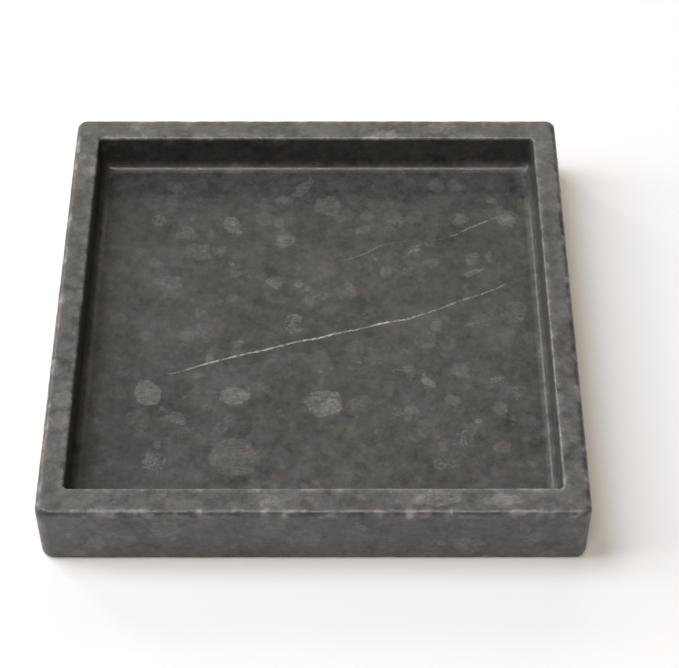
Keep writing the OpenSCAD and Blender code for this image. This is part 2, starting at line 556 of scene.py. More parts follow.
    veins: tuple[Vein, ...] = (
        Vein(width=0.7, face=Face.FLOOR, course=(
            VeinPoint(px=164, py=372, strength=0.0), VeinPoint(px=171, py=374, strength=0.3),
            VeinPoint(px=189, py=369, strength=0.5), VeinPoint(px=201, py=365, strength=0.8),
            VeinPoint(px=224, py=359, strength=0.8), VeinPoint(px=244, py=354, strength=0.75),
            VeinPoint(px=260, py=351, strength=0.8), VeinPoint(px=280, py=346, strength=0.9),
            VeinPoint(px=299, py=341, strength=1.0), VeinPoint(px=319, py=338, strength=0.95),
            VeinPoint(px=333, py=334, strength=1.0), VeinPoint(px=359, py=329, strength=1.0),
            VeinPoint(px=383, py=323, strength=1.0), VeinPoint(px=408, py=319, strength=0.85),
            VeinPoint(px=426, py=313, strength=0.4), VeinPoint(px=444, py=307, strength=0.45),
            VeinPoint(px=459, py=301, strength=0.5), VeinPoint(px=482, py=294, strength=0.4),
            VeinPoint(px=502, py=286, strength=0.3), VeinPoint(px=508, py=282, strength=0.0))),
        Vein(width=0.42, face=Face.FLOOR, course=(
            VeinPoint(px=340, py=261, strength=0.0), VeinPoint(px=348, py=259, strength=0.35),
            VeinPoint(px=359, py=256, strength=0.4), VeinPoint(px=382, py=245, strength=0.3),
            VeinPoint(px=410, py=240, strength=0.05), VeinPoint(px=436, py=240, strength=0.1),
            VeinPoint(px=452, py=236, strength=0.4), VeinPoint(px=474, py=226, strength=0.6),
            VeinPoint(px=494, py=218, strength=0.45), VeinPoint(px=506, py=214, strength=0.0))),
        Vein(width=0.3, face=Face.RIM, course=(
            VeinPoint(px=436, py=507, strength=0.0), VeinPoint(px=448, py=500, strength=0.3),
            VeinPoint(px=466, py=492, strength=0.0))),
    )


@dataclass(frozen=True)
class Mottle:
    """One size of the grey mottling: how far apart its blotches are, and how strong they are."""

    spacing_mm: float
    strength: float
    detail: float = 2.0


@dataclass(frozen=True)
class HonedLimestone:
    """Dark fossil limestone, sawn and then honed by hand with fine grit.

    Honing leaves it flat but not polished: soft broad highlights, a fine grey bloom and crisp pale fossils in
    a matrix that drifts between greenish, reddish and bluish grey. The three attributes that it reads are
    painted by StoneTray. bed is the soft lightening, the polish and the tone; the tone holds painted
    highlights on the top edge, the lip and the fillet and painted shade on the bottom edge. fossil is the
    distance inside the nearest fossil in millimetres, its lift and its grain. vein is the distance from the
    nearest vein's middle in millimetres, its strength and its half width.

    A value in mm is the size of a pattern or a reach on the real stone. seed_fossils are the layers of small
    fossils that no one placed: their spacing, a usual one's radius as a share of it, and their lift.
    """

    greenish: str = "#4c4e4a"
    neutral: str = "#4e4e4d"
    reddish: str = "#514e4d"
    bluish: str = "#4d4e51"
    hue_stops: tuple[float, ...] = (0.34, 0.46, 0.57, 0.68)
    hue_mm: float = 8.0
    mottles: tuple[Mottle, ...] = (Mottle(22.0, 0.8), Mottle(9.0, 1.2), Mottle(4.0, 1.2, 3.0),
                                   Mottle(1.7, 0.8, 3.0), Mottle(0.7, 0.55, 2.0))
    fossil_lift: float = 2.6
    edge_mm: float = 3.6
    edge_wander_mm: float = 6.2
    edge_start_mm: float = -0.15
    edge_end_mm: float = 0.4
    fibre_mm: tuple[float, float, float] = (3.3333, 1.0526, 1.6667)
    crumb_mm: float = 1.3
    bend_mm: float = 5.0
    seed_fossils: tuple[tuple[float, float, float], ...] = (
        (9.0, 0.34, 0.55), (4.2, 0.3, 0.4), (1.9, 0.26, 0.5))
    seed_edge_mm: float = 0.5
    calcite: str = "#a39e95"
    jag_mm: float = 0.9
    jag_reach_mm: float = 1.3
    vein_blur_mm: float = 0.14
    vein_break_mm: float = 2.8
    roughness: float = 0.4
    duller: float = 0.08
    glossier: float = 0.06
    shine_mm: float = 3.0
    polish: float = 0.2
    grain_mm: float = 0.7
    pore_spacing_mm: float = 2.64
    grit_height_mm: float = 0.06
    grit_strength: float = 0.6
    index_of_refraction: float = 1.5

    def build(self) -> bpy.types.Material:
        """Makes the material.

        Returns:
            The material.
        """
        material, tree = new_material("honed_fossil_limestone")
        place = add_node(tree, "ShaderNodeTexCoord").outputs["Object"]
        bed, fossil, vein = (
            add_node(tree, "ShaderNodeSeparateXYZ", None, {
                0: add_node(tree, "ShaderNodeAttribute", {"attribute_name": name}).outputs["Vector"]})
            for name in ("bed", "fossil", "vein"))
        wander = add_node(tree, "ShaderNodeTexNoise", None, {
            "Vector": place, "Scale": 1 / (self.edge_mm * MM), "Detail": 3.0, "Roughness": 0.52})
        value = self.mottling(tree, place)
        value = self.drift(tree, value, bed.outputs[0], wander.outputs[0])
        value = self.placed_fossils(tree, value, place, fossil, wander.outputs[0])
        for spacing, radius, lift in self.seed_fossils:
            value = self.scattered_fossils(tree, value, place, wander, spacing, radius, lift)
        # The tone scales the grey: painted highlights on the top edge, the lip and the fillet, painted shade
        # on the bottom edge.
        value = add_node(tree, "ShaderNodeMath", {"operation": "MULTIPLY"}, {0: value, 1: bed.outputs[2]})
        stone = add_node(tree, "ShaderNodeVectorMath", {"operation": "SCALE"}, {
            0: self.hues(tree, place), "Scale": value.outputs[0]})
        colour = self.veins(tree, stone.outputs[0], place, vein)
        shader = add_node(tree, "ShaderNodeBsdfPrincipled", None, {
            "Base Color": colour, "Roughness": self.shine(tree, place, bed.outputs[1]),
            "IOR": self.index_of_refraction, "Normal": self.grit(tree, place)})
        add_node(tree, "ShaderNodeOutputMaterial", None, {"Surface": shader.outputs[0]})
        return material

    def hues(self, tree: bpy.types.NodeTree, place: bpy.types.NodeSocket) -> bpy.types.NodeSocket:
        """Drifts the matrix between its greys in clouds some millimetres across.

        Args:
            tree: the material's tree.
            place: Object coordinates.

        Returns:
            The matrix colour.
        """
        cloud = add_node(tree, "ShaderNodeTexNoise", None, {
            "Vector": place, "Scale": 1 / (self.hue_mm * MM), "Detail": 3.0, "Roughness": 0.55,
            "Distortion": 0.6})
        ramp = add_node(tree, "ShaderNodeValToRGB", None, {0: cloud.outputs[0]})
        bands = ramp.color_ramp.elements
        greys = (self.greenish, self.neutral, self.reddish, self.bluish)
        first, *between, last = zip(self.hue_stops, map(linear, greys))
        bands[0].position, bands[0].color = first
        bands[1].position, bands[1].color = last
        for position, grey in between:
            bands.new(position).color = grey
        return ramp.outputs["Color"]

    def mottling(self, tree: bpy.types.NodeTree, place: bpy.types.NodeSocket) -> bpy.types.NodeSocket:
        """Sums the mottles around 1: each adds its strength times its noise less one half.

        Args:
            tree: the material's tree.
            place: Object coordinates.

        Returns:
            The grey value.
        """
        total: Any = 1.0
        for mottle in self.mottles:
            noise = add_node(tree, "ShaderNodeTexNoise", None, {
                "Vector": place, "Scale": 1 / (mottle.spacing_mm * MM), "Detail": mottle.detail,
                "Distortion": 0.4})
            centred = add_node(tree, "ShaderNodeMath", {"operation": "SUBTRACT"},
                               {0: noise.outputs[0], 1: 0.5})
            total = add_node(tree, "ShaderNodeMath", {"operation": "MULTIPLY_ADD"}, {
                0: centred.outputs[0], 1: mottle.strength, 2: total}).outputs[0]
        return total

    def drift(self, tree: bpy.types.NodeTree, value: bpy.types.NodeSocket, cloud: bpy.types.NodeSocket,
              wander: bpy.types.NodeSocket) -> bpy.types.NodeSocket:
        """Adds the painted soft patches, broken up by the noise that also moves the fossils' edges.

        Args:
            tree: the material's tree.
            value: the grey value so far.
            cloud: the painted lift of the soft patches.
            wander: the noise.

        Returns:
            The new grey value.
        """
        broken = add_node(tree, "ShaderNodeMapRange", None, {
            "Value": wander, "From Min": 0.3, "From Max": 0.7, "To Min": 0.6, "To Max": 1.4})
        return add_node(tree, "ShaderNodeMath", {"operation": "MULTIPLY_ADD"}, {
            0: cloud, 1: broken.outputs[0], 2: value}).outputs[0]

    def placed_fossils(self, tree: bpy.types.NodeTree, value: bpy.types.NodeSocket,
                       place: bpy.types.NodeSocket, fossil: bpy.types.Node,
                       wander: bpy.types.NodeSocket) -> bpy.types.NodeSocket:
        """Adds the painted fossils: crisp wandering edges, fibres inside and a crumbled share.

        Args:
            tree: the material's tree.
            value: the grey value so far.
            place: Object coordinates.
            fossil: the split fossil attribute.
            wander: noise that moves the edges.

        Returns:
            The new grey value.
        """
        moved = add_node(tree, "ShaderNodeMath", {"operation": "MULTIPLY_ADD"}, {
            0: wander, 1: self.edge_wander_mm, 2: fossil.outputs[0]})
        middle = self.edge_wander_mm / 2
        inside = add_node(tree, "ShaderNodeMapRange", {"interpolation_type": "SMOOTHSTEP"}, {
            "Value": moved.outputs[0], "From Min": middle + self.edge_start_mm,
            "From Max": middle + self.edge_end_mm})
        along = add_node(tree, "ShaderNodeMapping", None, {
            "Vector": place, "Scale": tuple(1 / (size * MM) for size in self.fibre_mm)})
        fibre = add_node(tree, "ShaderNodeTexNoise", None, {"Vector": along.outputs[0], "Scale": 1.0,
                                                            "Detail": 3.0, "Distortion": 0.8})
        inner = add_node(tree, "ShaderNodeMapRange", None, {
            "Value": fibre.outputs[0], "From Min": 0.3, "From Max": 0.7, "To Min": 0.35, "To Max": 1.55})
        crumb = add_node(tree, "ShaderNodeTexNoise", None, {
            "Vector": place, "Scale": 1 / (self.crumb_mm * MM), "Detail": 2.0})
        gone = add_node(tree, "ShaderNodeMapRange", {"interpolation_type": "SMOOTHSTEP"}, {
            "Value": crumb.outputs[0], "From Min": 0.58, "From Max": 0.44})
        kept = add_node(tree, "ShaderNodeMath", {"operation": "MULTIPLY"}, {0: gone.outputs[0],
                                                                            1: fossil.outputs[2]})
        kept = add_node(tree, "ShaderNodeMath", {"operation": "SUBTRACT"}, {0: 1.0, 1: kept.outputs[0]})
        lifted: Any = add_node(tree, "ShaderNodeMath", {"operation": "MULTIPLY"}, {
            0: fossil.outputs[1], 1: self.fossil_lift}).outputs[0]
        for share in (inside.outputs[0], inner.outputs[0], kept.outputs[0]):
            lifted = add_node(tree, "ShaderNodeMath", {"operation": "MULTIPLY"},
                              {0: lifted, 1: share}).outputs[0]
        return add_node(tree, "ShaderNodeMath", {"operation": "ADD"}, {0: value, 1: lifted}).outputs[0]

    def scattered_fossils(self, tree: bpy.types.NodeTree, value: Any, place: bpy.types.NodeSocket,
                          wander: bpy.types.Node, spacing_mm: float, radius: float,
                          lift: float) -> bpy.types.NodeSocket:
        """Adds faint fossils of random size and paleness in the cells of a Voronoi pattern.

        Args:
            tree: the material's tree.
            value: the grey value so far.
            place: Object coordinates.
            wander: noise that bends the fossils' outlines.
            spacing_mm: the distance between cells.
            radius: a usual fossil's radius, as a share of the spacing. It runs from half of it to half more.
            lift: the palest fossil.

        Returns:
            The new grey value.
        """
        bent = add_node(tree, "ShaderNodeVectorMath", {"operation": "MULTIPLY_ADD"}, {
            0: wander.outputs["Color"], 1: (self.bend_mm * MM,) * 3, 2: place})
        cells = add_node(tree, "ShaderNodeTexVoronoi", None, {"Vector": bent.outputs[0],
                                                              "Scale": 1 / (spacing_mm * MM)})
        chance = add_node(tree, "ShaderNodeSeparateXYZ", None, {0: cells.outputs["Color"]})
        reach = add_node(tree, "ShaderNodeMapRange", None, {
            "Value": chance.outputs[0], "To Min": radius * 0.5, "To Max": radius * 1.5})
        inside = add_node(tree, "ShaderNodeMath", {"operation": "SUBTRACT"}, {0: reach.outputs[0],
                                                                              1: cells.outputs["Distance"]})
        edge = add_node(tree, "ShaderNodeMapRange", {"interpolation_type": "SMOOTHSTEP"}, {
            "Value": inside.outputs[0], "From Max": self.seed_edge_mm / spacing_mm, "To Max": lift})
        rare = add_node(tree, "ShaderNodeMapRange", None, {"Value": chance.outputs[1], "From Min": 0.45})
        return add_node(tree, "ShaderNodeMath", {"operation": "MULTIPLY_ADD"}, {
            0: edge.outputs[0], 1: rare.outputs[0], 2: value}).outputs[0]

    def veins(self, tree: bpy.types.NodeTree, stone: bpy.types.NodeSocket, place: bpy.types.NodeSocket,
              vein: bpy.types.Node) -> bpy.types.NodeSocket:
        """Lays the pale calcite veins into the stone, with a jagged, uneven line.

        Args:
            tree: the material's tree.
            stone: the stone's colour.
            place: Object coordinates.
            vein: the split vein attribute.

        Returns:
            The colour with its veins.
        """
        jag = add_node(tree, "ShaderNodeTexNoise", None, {
            "Vector": place, "Scale": 1 / (self.jag_mm * MM), "Detail": 2.0, "Roughness": 0.5})
        off = add_node(tree, "ShaderNodeMath", {"operation": "MULTIPLY_ADD"}, {
            0: jag.outputs[0], 1: self.jag_reach_mm, 2: vein.outputs[0]})
        away = add_node(tree, "ShaderNodeMath", {"operation": "SUBTRACT"}, {
            0: off.outputs[0], 1: self.jag_reach_mm / 2})
        away = add_node(tree, "ShaderNodeMath", {"operation": "ABSOLUTE"}, {0: away.outputs[0]})
        depth = add_node(tree, "ShaderNodeMath", {"operation": "SUBTRACT"}, {0: vein.outputs[2],
                                                                             1: away.outputs[0]})
        line = add_node(tree, "ShaderNodeMapRange", {"interpolation_type": "SMOOTHSTEP"}, {
            "Value": depth.outputs[0], "From Min": -self.vein_blur_mm, "From Max": self.vein_blur_mm})
        patchy = add_node(tree, "ShaderNodeTexNoise", None, {
            "Vector": place, "Scale": 1 / (self.vein_break_mm * MM), "Detail": 2.0})
        uneven = add_node(tree, "ShaderNodeMapRange", None, {
            "Value": patchy.outputs[0], "From Min": 0.4, "From Max": 0.58, "To Min": 0.3})
        share = add_node(tree, "ShaderNodeMath", {"operation": "MULTIPLY"}, {0: line.outputs[0],
                                                                             1: uneven.outputs[0]})
        share = add_node(tree, "ShaderNodeMath", {"operation": "MULTIPLY"}, {0: share.outputs[0],
                                                                             1: vein.outputs[1]})
        return add_node(tree, "ShaderNodeMix", {"data_type": "RGBA"}, {
            "Factor": share.outputs[0], "A": stone, "B": linear(self.calcite)}).outputs["Result"]

    def shine(self, tree: bpy.types.NodeTree, place: bpy.types.NodeSocket,
              worn: bpy.types.NodeSocket) -> bpy.types.NodeSocket:
        """Varies the roughness a little, and polishes the edges that hands and cloths rub.

        Args:
            tree: the material's tree.
            place: Object coordinates.
            worn: the painted share of rubbing.

        Returns:
            The roughness.
        """
        noise = add_node(tree, "ShaderNodeTexNoise", None, {
            "Vector": place, "Scale": 1 / (self.shine_mm * MM), "Detail": 4.0})
        uneven = add_node(tree, "ShaderNodeMapRange", None, {
            "Value": noise.outputs[0], "From Min": 0.3, "From Max": 0.7,
            "To Min": self.roughness - self.glossier, "To Max": self.roughness + self.duller})
        return add_node(tree, "ShaderNodeMath", {"operation": "MULTIPLY_ADD"}, {
            0: worn, 1: -self.polish, 2: uneven.outputs[0]}).outputs[0]

    def grit(self, tree: bpy.types.NodeTree, place: bpy.types.NodeSocket) -> bpy.types.NodeSocket:
        """Roughens the surface with honing grain and a few open pores.

        Args:
            tree: the material's tree.
            place: Object coordinates.

        Returns:
            The bumped normal.
        """
        grain = add_node(tree, "ShaderNodeTexNoise", None, {
            "Vector": place, "Scale": 1 / (self.grain_mm * MM), "Detail": 4.0, "Roughness": 0.6})
        pores = add_node(tree, "ShaderNodeTexVoronoi", None, {
            "Vector": place, "Scale": 1 / (self.pore_spacing_mm * MM)})
        pit = add_node(tree, "ShaderNodeMapRange", {"interpolation_type": "SMOOTHSTEP"}, {
            "Value": pores.outputs["Distance"], "From Min": 0.05, "From Max": 0.2, "To Min": -0.8,
            "To Max": 0.0})
        height = add_node(tree, "ShaderNodeMath", {"operation": "ADD"}, {0: grain.outputs[0],
                                                                         1: pit.outputs[0]})
        return add_node(tree, "ShaderNodeBump", None, {
            "Strength": self.grit_strength, "Distance": self.grit_height_mm * MM,
            "Height": height.outputs[0]}).outputs[0]


@dataclass(frozen=True)
class MouldedSilicone:
    """Black silicone rubber, pressed in a matt mould: very dark, with a dull wide sheen."""

    colour: str = "#161617"
    roughness: float = 0.62
    index_of_refraction: float = 1.41
    grain_mm: float = 0.35
    grain_height_mm: float = 0.04

    def build(self) -> bpy.types.Material:
        """Makes the material, with the fine grain of a spark-eroded mould.

        Returns:
            The material.
        """
        material, tree = new_material("matt_moulded_silicone")
        place = add_node(tree, "ShaderNodeTexCoord")
        grain = add_node(tree, "ShaderNodeTexNoise", None, {
            "Vector": place.outputs["Object"], "Scale": 1 / (self.grain_mm * MM), "Detail": 3.0})
        bump = add_node(tree, "ShaderNodeBump", None, {
            "Strength": 0.5, "Distance": self.grain_height_mm * MM, "Height": grain.outputs[0]})
        shader = add_node(tree, "ShaderNodeBsdfPrincipled", None, {
            "Base Color": linear(self.colour), "Roughness": self.roughness,
            "IOR": self.index_of_refraction, "Normal": bump.outputs[0]})
        add_node(tree, "ShaderNodeOutputMaterial", None, {"Surface": shader.outputs[0]})
        return material


@dataclass(frozen=True)
class AcrylicAdhesive:
    """Die-cut acrylic transfer tape: a cloudy pale film with a soft shine."""

    thin_colour: str = "#c4c0b1"
    thick_colour: str = "#aaa696"
    roughness: float = 0.45
    index_of_refraction: float = 1.47
    cloud_mm: float = 1.5

    def build(self) -> bpy.types.Material:
        """Makes the material, with faint clouds where the film is thicker.

        Returns:
            The material.
        """
        material, tree = new_material("cloudy_acrylic_adhesive")
        place = add_node(tree, "ShaderNodeTexCoord")
        cloud = add_node(tree, "ShaderNodeTexNoise", None, {
            "Vector": place.outputs["Object"], "Scale": 1 / (self.cloud_mm * MM), "Detail": 2.0})
        tint = add_node(tree, "ShaderNodeMix", {"data_type": "RGBA"}, {
            "Factor": cloud.outputs[0], "A": linear(self.thin_colour), "B": linear(self.thick_colour)})
        shader = add_node(tree, "ShaderNodeBsdfPrincipled", None, {
            "Base Color": tint.outputs["Result"], "Roughness": self.roughness,
            "IOR": self.index_of_refraction})
        add_node(tree, "ShaderNodeOutputMaterial", None, {"Surface": shader.outputs[0]})
        return material


class WearAndPaintedLight(NamedTuple):
    """How a stretch of the stone's section was worked and worn, and how much painted light it carries.

    wobble is the depth of its lumps in millimetres. bruising is how blotchy it is, the third value scales its
    grey and polish is how much it was rubbed. Where the grey is paler, on the top edge, the lip and the
    fillet, it paints highlights. Where it is darker, on the bottom edge, it paints shade. The sides and the
    basin are darker than the rim top.
    """

    wobble: float = 0.0
    bruising: float = 0.0
    paleness_and_painted_light: float = 1.0
    polish: float = 0.0


class Zone(Enum):
    """The stretches of the stone's section, from the foot over the rim to the basin floor."""

    # Painted shade: the bottom edge, next to the floor, is darker than the sides.
    FOOT_EDGE = WearAndPaintedLight(wobble=0.12, bruising=0.05, paleness_and_painted_light=0.76)
    SIDE = WearAndPaintedLight(paleness_and_painted_light=0.86)
    # Painted highlight: the top edge is paler than the rim. Its bruising, partly real pale chips, also breaks
    # the painted highlight into blotches.
    TOP_EDGE = WearAndPaintedLight(wobble=0.13, bruising=0.6, paleness_and_painted_light=1.14, polish=0.15)
    RIM = WearAndPaintedLight(bruising=0.05)
    # Painted highlight: the rim's inner edge is half again as pale as the rim, for its line of light.
    LIP = WearAndPaintedLight(wobble=0.05, bruising=0.3, paleness_and_painted_light=1.5, polish=0.75)
    WALL = WearAndPaintedLight(paleness_and_painted_light=0.66, polish=0.2)
    # Painted highlight: the fillet is paler than the wall and the floor, for its line of light.
    FILLET = WearAndPaintedLight(wobble=0.02, bruising=0.04, paleness_and_painted_light=0.75, polish=0.3)
    FLOOR = WearAndPaintedLight(paleness_and_painted_light=0.6)


@dataclass
class StoneTray:
    """The one block of stone: its outside, rim, basin and the seats for the pads. Sizes in millimetres.

    A count ending in _rings says how many rings of points a stretch of the section has. foot_strip is the
    width of the strip of triangles that halves the ring's points for the underside. Around each pad the
    underside leaves out seat_cells cells to each side, and rings at seat_spread and ceiling_spread fill the
    gap. waves, lumps and bruises are layers of noise: each one's strength, pitch and seed.
    """

    view: Viewpoint
    corner_r: float = 4.0
    top_edge_r: float = 2.4
    bottom_edge_r: float = 2.0
    rim_side: float = 10.0
    rim_end: float = 11.6
    rim_edge_r: float = 1.2
    basin_corner_r: float = 1.6
    floor_corner_r: float = 3.4
    floor_fillet_r: float = 3.5
    seat_r: float = 7.25
    seat_depth: float = 1.0
    floor_corner_share: float = 0.6
    per_side: int = 192
    per_half_corner: int = 6
    foot_rings: int = 6
    side_rings: int = 21
    top_edge_rings: int = 8
    rim_rings: int = 7
    lip_rings: int = 6
    wall_rings: int = 11
    fillet_rings: int = 9
    foot_strip: float = 1.5
    seat_cells: int = 5
    seat_spread: tuple[float, ...] = (0.4, 0.75, 1.0)
    ceiling_spread: tuple[float, ...] = (0.66, 0.33)
    waves: tuple[tuple[float, float, int], ...] = ((0.08, 24.0, 1), (0.04, 7.0, 2))
    lumps: tuple[tuple[float, float, int], ...] = ((0.45, 4.6, 3), (0.55, 2.1, 4))
    lumps_from: float = 0.25
    lumps_to: float = 0.85
    chips: int = 150
    chip_radius: tuple[float, float] = (0.9, 2.2)
    chip_depth: tuple[float, float] = (0.05, 0.28)
    chips_where_wobble: float = 0.05
    even_foot: float = 0.4
    even_inset: float = 3.0
    even_below_floor: float = 1.0
    wear_seed: int = 7
    bruises: tuple[tuple[float, float, int], ...] = ((0.6, 3.4, 5), (0.4, 1.7, 6))
    bruises_from: float = 0.45
    bruises_to: float = 0.75
    bruise_lift: float = 2.0
    bruise_shade: float = 0.4
    crease_deg: float = 50.0
    finish: HonedLimestone = field(default_factory=HonedLimestone)
    bed: FossilBed = field(default_factory=FossilBed)

    def __post_init__(self) -> None:
        """Reads the block's outer size and the height of the basin floor from the frame."""
        low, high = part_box("tray_body")
        self.half_w = high.x / MM
        self.half_d = high.y / MM
        self.bottom, self.top = low.z / MM, high.z / MM
        mounts = {mount["name"]: mount for mount in frame["record"]["mounts"]}
        self.floor_z = mounts["basin_floor"]["pos_m"][2] / MM

    def loop(self) -> tuple[np.ndarray, np.ndarray]:
        """Goes once around a rounded rectangle, from the middle of its front left corner.

        Each side is half a corner, a straight run and half a corner. The other sides are the front side
        turned by a quarter each time.

        Returns:
            The corner that each sample belongs to, from -1 to 1 on each axis and sliding along a straight
            run, and its unit normal.
        """
        count, arc = self.per_side, self.per_half_corner
        step = np.arange(count)
        slide = np.clip((step - arc) / (count - 2 * arc), 0, 1) * 2 - 1
        bend = np.minimum(step, arc) / arc - 1 + np.maximum(step - (count - arc), 0) / arc
        angle = math.radians(-90) + bend * math.radians(45)
        corner = np.stack([slide, np.full(count, -1.0)], 1)
        normal = np.stack([np.cos(angle), np.sin(angle)], 1)
        corners, normals = [], []
        for _ in range(4):
            corners.append(corner)
            normals.append(normal)
            corner = np.stack([-corner[:, 1], corner[:, 0]], 1)
            normal = np.stack([-normal[:, 1], normal[:, 0]], 1)
        return np.concatenate(corners), np.concatenate(normals)

    def profile(self) -> tuple[np.ndarray, np.ndarray]:
        """Draws the section from the underside's edge, over the rim and down to the basin floor's edge.

        Rounds are quarter circles: inset = r (1 - cos t), height = r sin t. Inside the basin the corners open
        from the lip's own radius to the floor's.

        Returns:
            Rows of half width, half depth, corner radius and height, and rows of the zones' values, blended
            where one zone meets the next.
        """
        basin_a, basin_b = self.half_w - self.rim_side, self.half_d - self.rim_end
        rows: list[tuple[float, float, float, float]] = []
        zones: list[Zone] = []

        def outer(inset: float, height: float) -> None:
            """Adds a ring on the outside of the block."""
            rows.append((self.half_w - inset, self.half_d - inset, self.corner_r - inset, height))

        def inner(inset: float, radius: float, height: float) -> None:
            """Adds a ring inside the basin, inset from its wall."""
            rows.append((basin_a - inset, basin_b - inset, radius, height))

        for t in np.radians(np.linspace(90, 0, self.foot_rings, endpoint=False)):
            outer(self.bottom_edge_r * (1 - math.cos(t)),
                  self.bottom + self.bottom_edge_r * (1 - math.sin(t)))
        zones += [Zone.FOOT_EDGE] * (len(rows) - len(zones))
        for height in np.linspace(self.bottom + self.bottom_edge_r, self.top - self.top_edge_r,
                                  self.side_rings, endpoint=False):
            outer(0, height)
        zones += [Zone.SIDE] * (len(rows) - len(zones))
        for t in np.radians(np.linspace(0, 90, self.top_edge_rings, endpoint=False)):
            outer(self.top_edge_r * (1 - math.cos(t)), self.top - self.top_edge_r * (1 - math.sin(t)))
        zones += [Zone.TOP_EDGE] * (len(rows) - len(zones))
        start = np.array([self.half_w - self.top_edge_r, self.half_d - self.top_edge_r,
                          self.corner_r - self.top_edge_r, self.top])
        end = np.array([basin_a + self.rim_edge_r, basin_b + self.rim_edge_r,
                        self.basin_corner_r + self.rim_edge_r, self.top])
        rows += [tuple(start + (end - start) * share)
                 for share in np.linspace(0, 1, self.rim_rings, endpoint=False)]
        zones += [Zone.RIM] * (len(rows) - len(zones))
        for t in np.radians(np.linspace(90, 0, self.lip_rings, endpoint=False)):
            inset = -self.rim_edge_r * (1 - math.cos(t))
            inner(inset, self.basin_corner_r - inset, self.top - self.rim_edge_r * (1 - math.sin(t)))
        zones += [Zone.LIP] * (len(rows) - len(zones))
        wall_top, wall_foot = self.top - self.rim_edge_r, self.floor_z + self.floor_fillet_r
        opening = self.floor_corner_r - self.basin_corner_r
        for share in np.linspace(0, 1, self.wall_rings, endpoint=False):
            opened = self.basin_corner_r + opening * share * self.floor_corner_share
            inner(0, opened, wall_top + (wall_foot - wall_top) * share)
        zones += [Zone.WALL] * (len(rows) - len(zones))
        for t in np.radians(np.linspace(0, 90, self.fillet_rings)):
            share = self.floor_corner_share + (1 - self.floor_corner_share) * t / math.radians(90)
            opened = self.basin_corner_r + opening * share
            inner(self.floor_fillet_r * (1 - math.cos(t)), opened,
                  self.floor_z + self.floor_fillet_r * (1 - math.sin(t)))
        zones += [Zone.FILLET] * (len(rows) - len(zones))
        values = np.array([zone.value for zone in zones])
        padded = np.pad(values, ((1, 1), (0, 0)), mode="edge")
        return np.array(rows), (padded[:-2] + 2 * values + padded[2:]) / 4

    def rings(self) -> np.ndarray:
        """Carries the profile around the block.

        A point is ((a - r) cx + r nx, (b - r) cy + r ny, z) for a profile row a, b, r, z and a loop sample
        with corner cx, cy and normal nx, ny.

        Returns:
            An array of rings by samples by x, y, z.
        """
        corner, normal = self.loop()
        a, b, r, z = (column[:, None] for column in self.profile()[0].T)
        x = (a - r) * corner[:, 0] + r * normal[:, 0]
        y = (b - r) * corner[:, 1] + r * normal[:, 1]
        return np.stack([x, y, np.broadcast_to(z, x.shape)], 2)

    @staticmethod
    def patch(ring: np.ndarray, numbers: np.ndarray, first: int) -> tuple[np.ndarray, np.ndarray]:
        """Fills a ring of four equal sides with a square grid.

        An inside point is the blend of its two side points, plus the blend of its two end points, less the
        blend of the four corners (a Coons patch).

        Args:
            ring: the ring's points, from one corner.
            numbers: the ring's vertex numbers.
            first: the number of the first new vertex.

        Returns:
            The new inside points and the grid of all vertex numbers.
        """
        count = len(ring) // 4
        closed = np.concatenate([ring, ring[:1]])
        south, east = closed[:count + 1], closed[count:2 * count + 1]
        north, west = closed[2 * count:3 * count + 1][::-1], closed[3 * count:][::-1]
        s = np.linspace(0, 1, count + 1)[None, :, None]
        t = np.linspace(0, 1, count + 1)[:, None, None]
        sides = (1 - t) * south[None] + t * north[None]
        ends = (1 - s) * west[:, None] + s * east[:, None]
        corners = ((1 - t) * ((1 - s) * south[0] + s * south[-1])
                   + t * ((1 - s) * north[0] + s * north[-1]))
        points = sides + ends - corners
        grid = np.zeros((count + 1, count + 1), np.int64)
        labels = np.concatenate([numbers, numbers[:1]])
        grid[0], grid[:, -1] = labels[:count + 1], labels[count:2 * count + 1]
        grid[-1], grid[:, 0] = labels[2 * count:3 * count + 1][::-1], labels[3 * count:][::-1]
        grid[1:-1, 1:-1] = first + np.arange((count - 1) ** 2).reshape(count - 1, count - 1)
        return points[1:-1, 1:-1].reshape(-1, 3), grid

    def surface(self) -> tuple[np.ndarray, list[np.ndarray]]:
        """Builds the closed surface of the block.

        Returns:
            The points in millimetres and the faces.
        """
        rings = self.rings()
        height, around = rings.shape[:2]
        number = np.arange(height * around).reshape(height, around)
        turned = np.roll(number, -1, axis=1)
        points = [rings.reshape(-1, 3)]
        quads = [np.stack([number[:-1], turned[:-1], turned[1:], number[1:]], 2).reshape(-1, 4)]
        used = height * around
        inside, grid = self.patch(rings[-1], number[-1], used)
        points.append(inside)
        used += len(inside)
        quads.append(np.stack([grid[:-1, :-1], grid[:-1, 1:], grid[1:, 1:], grid[1:, :-1]], 2).reshape(-1, 4))
        coarse = rings[0][::2].copy()
        centre = coarse.mean(axis=0)
        coarse[:, :2] = centre[:2] + (coarse[:, :2] - centre[:2]) * (1 - self.foot_strip / self.half_w)
        coarse_number = used + np.arange(len(coarse))
        points.append(coarse)
        used += len(coarse)
        even, odd, following = number[0][::2], number[0][1::2], np.roll(number[0][::2], -1)
        ahead = np.roll(coarse_number, -1)
        triangles = np.concatenate([np.stack([odd, even, coarse_number], 1),
                                    np.stack([following, odd, ahead], 1),
                                    np.stack([odd, coarse_number, ahead], 1)])
        below, under = self.patch(coarse, coarse_number, used)
        points.append(below)
        used += len(below)
        faces, seat_points = self.seats(np.concatenate(points), under, used)
        points.append(seat_points)
        return np.concatenate(points), [np.concatenate(quads + faces), triangles]

